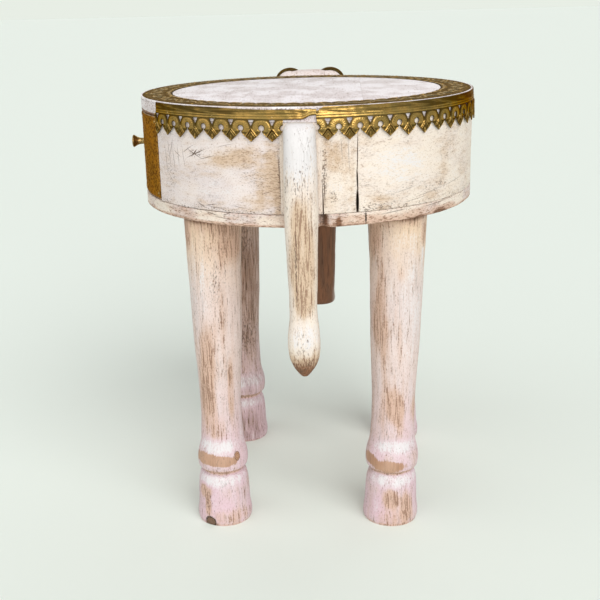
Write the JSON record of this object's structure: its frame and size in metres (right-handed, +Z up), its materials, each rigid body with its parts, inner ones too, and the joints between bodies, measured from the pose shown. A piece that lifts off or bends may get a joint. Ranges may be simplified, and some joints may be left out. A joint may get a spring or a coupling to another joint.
{
  "type": "elephant coffee table",
  "caption": "Round whitewashed drum table on turned legs, carved as an elephant with tail, head and trunk, brass leaf border, and a curved drawer in its side.",
  "frame": {"origin": "on the floor, under the middle of the table's whole footprint with tail, tusks and knob", "axes": "+Z up, +Y towards the elephant's head, -Y towards its tail, -X towards the drawer"},
  "size_m": [0.409, 0.519, 0.5089],
  "materials": {
    "whitewashed_wood": "distressed whitewash",
    "bare_wood": "bare, dull",
    "border_brass": "embossed, worn",
    "ring_brass": "embossed, dark",
    "hammered_brass": "hammered, dull",
    "turned_brass": "satin",
    "steel": "plain",
    "tusk_wood": "pale, smooth"
  },
  "bodies": {
    "table": {"top_plank_left": "whitewashed_wood", "top_plank_middle": "whitewashed_wood", "top_plank_right": "whitewashed_wood", "wall_rear_left": "whitewashed_wood", "wall_tail_post": "whitewashed_wood", "wall_filler_stave": "whitewashed_wood", "wall_rear_right": "whitewashed_wood", "wall_front_right": "whitewashed_wood", "wall_head_post": "whitewashed_wood", "wall_front_left": "whitewashed_wood", "leg_rear_left": "whitewashed_wood", "leg_rear_right": "whitewashed_wood", "leg_front_left": "whitewashed_wood", "leg_front_right": "whitewashed_wood", "bottom_board": "whitewashed_wood", "tail": "whitewashed_wood", "head": "whitewashed_wood", "ear_left": "whitewashed_wood", "ear_right": "whitewashed_wood", "leg_block_rear_left": "bare_wood", "leg_block_rear_right": "bare_wood", "leg_block_front_left": "bare_wood", "leg_block_front_right": "bare_wood", "drawer_runner_rear": "bare_wood", "drawer_runner_front": "bare_wood", "drawer_guide_rear": "bare_wood", "drawer_guide_front": "bare_wood", "drawer_kicker_rear": "bare_wood", "drawer_kicker_front": "bare_wood", "drawer_stop": "bare_wood", "leg_wedges": "bare_wood", "wall_dowels": "bare_wood", "top_dowels": "bare_wood", "leaf_band_rear_left": "border_brass", "leaf_band_right": "border_brass", "leaf_band_front_left": "border_brass", "top_brass_ring": "ring_brass", "band_tacks": "turned_brass", "ring_tacks": "turned_brass", "forehead_brass": "turned_brass", "forehead_tacks": "turned_brass", "eyes": "turned_brass", "bottom_screws": "steel", "kicker_screws": "steel", "tail_screws": "steel", "head_screws": "steel", "ear_nails": "steel", "tusk_left": "tusk_wood", "tusk_right": "tusk_wood"},
    "drawer": {"drawer_front": "bare_wood", "drawer_front_brass": "hammered_brass", "drawer_side_rear": "bare_wood", "drawer_side_front": "bare_wood", "drawer_back": "bare_wood", "drawer_bottom": "bare_wood", "drawer_knob": "turned_brass", "knob_screw": "steel", "drawer_nails": "steel", "drawer_brass_tacks": "turned_brass"}
  },
  "joints": [
    {"name": "drawer_slide", "type": "slide", "parent": "table", "child": "drawer", "axis": [-1, 0, 0], "range_m": [0, 0.21]}
  ]
}
